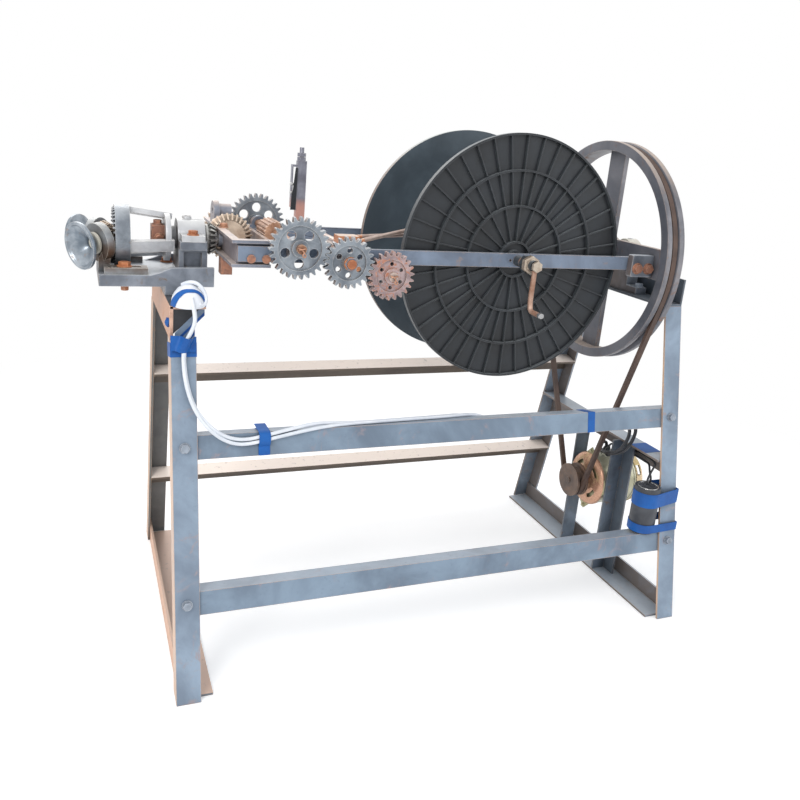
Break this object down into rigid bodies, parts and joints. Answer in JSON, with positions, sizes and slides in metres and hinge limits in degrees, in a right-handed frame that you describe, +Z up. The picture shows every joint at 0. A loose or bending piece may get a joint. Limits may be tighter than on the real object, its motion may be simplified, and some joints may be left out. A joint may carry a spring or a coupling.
{
  "type": "rope making machine",
  "caption": "Rope making machine: two feed horns, a gear-driven flyer with a ribbed take-up reel and traverse, and a belt-driven wheel on an angle-iron stand.",
  "frame": {"origin": "middle of the outline on the floor under the feet", "axes": "+X along the main axis from the horns to the belt wheel, +Z up, -Y the side with the crank"},
  "size_m": [1.3898, 0.676, 1.078],
  "materials": {
    "painted_steel": "worn blue-grey paint with tan rust at the edges",
    "beam_steel": "worn dark grey paint",
    "cast_iron": "dull grey",
    "bare_steel": "smooth, slightly stained",
    "rusty_bolts": "rusty",
    "gear_iron": "oily blue-grey",
    "rusty_gear": "purple-brown rust",
    "tan_iron": "greasy tan",
    "roller_brown": "brown, fluted",
    "reel_black": "satin black",
    "wheel_grey": "grey with brown stains",
    "belt_brown": "matt dark brown",
    "motor_gold": "yellowish zinc",
    "motor_green": "pale green",
    "capacitor_grey": "matt dark grey",
    "tape_blue": "shiny blue",
    "white_plastic": "smooth white"
  },
  "bodies": {
    "stand": {"left_front_leg": "painted_steel", "left_rear_leg": "painted_steel", "right_front_leg": "painted_steel", "right_rear_leg": "painted_steel", "left_base_rail": "painted_steel", "right_base_rail": "painted_steel", "front_lower_rail": "painted_steel", "front_upper_rail": "painted_steel", "rear_lower_rail": "painted_steel", "rear_upper_rail": "painted_steel", "left_cross_beam": "beam_steel", "right_cross_beam": "beam_steel", "side_rail": "painted_steel", "motor_uprights": "beam_steel", "stand_bolts": "painted_steel", "head_base": "cast_iron", "pedestal_cap": "cast_iron", "head_bolts": "rusty_bolts", "horn_bracket": "cast_iron", "fixed_bevel_gear": "tan_iron", "right_bearing": "cast_iron", "right_bearing_cap": "cast_iron", "motor_body": "motor_green", "motor_covers": "motor_gold", "capacitor": "capacitor_grey", "tape_bands": "tape_blue", "switch_body": "white_plastic", "switch_leads": "white_plastic", "drive_belt": "belt_brown"},
    "flyer": {"belt_wheel": "wheel_grey", "wheel_shaft": "bare_steel", "hollow_shaft": "bare_steel", "crown_gear": "gear_iron", "yoke_cage": "cast_iron", "flyer_bolts": "rusty_bolts", "front_bracket": "cast_iron", "rear_bracket": "cast_iron", "front_bar": "painted_steel", "rear_bar": "painted_steel", "end_blocks": "cast_iron", "cross_tie": "bare_steel", "tension_post": "beam_steel", "guide_rod": "bare_steel"},
    "motor_shaft": {"motor_pulley": "cast_iron"},
    "front_horn_spindle": {"front_horn": "bare_steel", "front_horn_pinion": "tan_iron"},
    "rear_horn_spindle": {"rear_horn": "bare_steel", "rear_horn_pinion": "tan_iron"},
    "bevel_spindle": {"bevel_gear": "tan_iron"},
    "cross_spindle": {"cross_shaft": "roller_brown", "front_gear": "gear_iron", "rear_gear": "gear_iron"},
    "idler": {"idler_gear": "gear_iron"},
    "screw_spindle": {"screw_gear": "rusty_gear", "traverse_screw": "rusty_gear"},
    "traverse_carriage": {"carriage": "rusty_bolts"},
    "reel": {"reel_front_flange": "reel_black", "reel_rear_flange": "reel_black", "reel_core": "reel_black", "crank": "rusty_gear"}
  },
  "joints": [
    {"name": "flyer_spin", "type": "hinge", "parent": "stand", "child": "flyer", "pos_m": [0.05291, 0, 0.82], "axis": [1, 0, 0], "continuous": true},
    {"name": "motor_spin", "type": "hinge", "parent": "stand", "child": "motor_shaft", "pos_m": [0.51491, -0.034, 0.229], "axis": [1, 0, 0], "continuous": true},
    {"name": "front_horn_spin", "type": "hinge", "parent": "stand", "child": "front_horn_spindle", "pos_m": [-0.57909, 0, 0.82], "axis": [-0.8295, -0.5446, -0.124], "continuous": true},
    {"name": "rear_horn_spin", "type": "hinge", "parent": "stand", "child": "rear_horn_spindle", "pos_m": [-0.57909, 0, 0.82], "axis": [-0.8295, 0.5446, -0.124], "continuous": true},
    {"name": "bevel_spin", "type": "hinge", "parent": "flyer", "child": "bevel_spindle", "pos_m": [-0.38309, 0, 0.82], "axis": [0, 1, 0], "continuous": true},
    {"name": "cross_shaft_spin", "type": "hinge", "parent": "flyer", "child": "cross_spindle", "pos_m": [-0.29419, 0, 0.834], "axis": [0, 1, 0], "continuous": true},
    {"name": "idler_spin", "type": "hinge", "parent": "flyer", "child": "idler", "pos_m": [-0.19736, -0.19, 0.809], "axis": [0, 1, 0], "continuous": true},
    {"name": "screw_spin", "type": "hinge", "parent": "flyer", "child": "screw_spindle", "pos_m": [-0.11035, 0, 0.786], "axis": [0, 1, 0], "continuous": true},
    {"name": "carriage_slide", "type": "slide", "parent": "flyer", "child": "traverse_carriage", "axis": [0, 1, 0], "range_m": [-0.07, 0.11]},
    {"name": "reel_spin", "type": "hinge", "parent": "flyer", "child": "reel", "pos_m": [0.18391, 0, 0.817], "axis": [0, 1, 0], "continuous": true}
  ],
  "couplings": [
    {"joint": "motor_spin", "follows": "flyer_spin", "ratio": 6.7219},
    {"joint": "front_horn_spin", "follows": "flyer_spin", "ratio": -1.9},
    {"joint": "rear_horn_spin", "follows": "flyer_spin", "ratio": -1.9},
    {"joint": "bevel_spin", "follows": "flyer_spin", "ratio": -0.64286},
    {"joint": "cross_shaft_spin", "follows": "flyer_spin", "ratio": 0.32143},
    {"joint": "idler_spin", "follows": "flyer_spin", "ratio": -0.37733},
    {"joint": "screw_spin", "follows": "flyer_spin", "ratio": 0.39448}
  ]
}
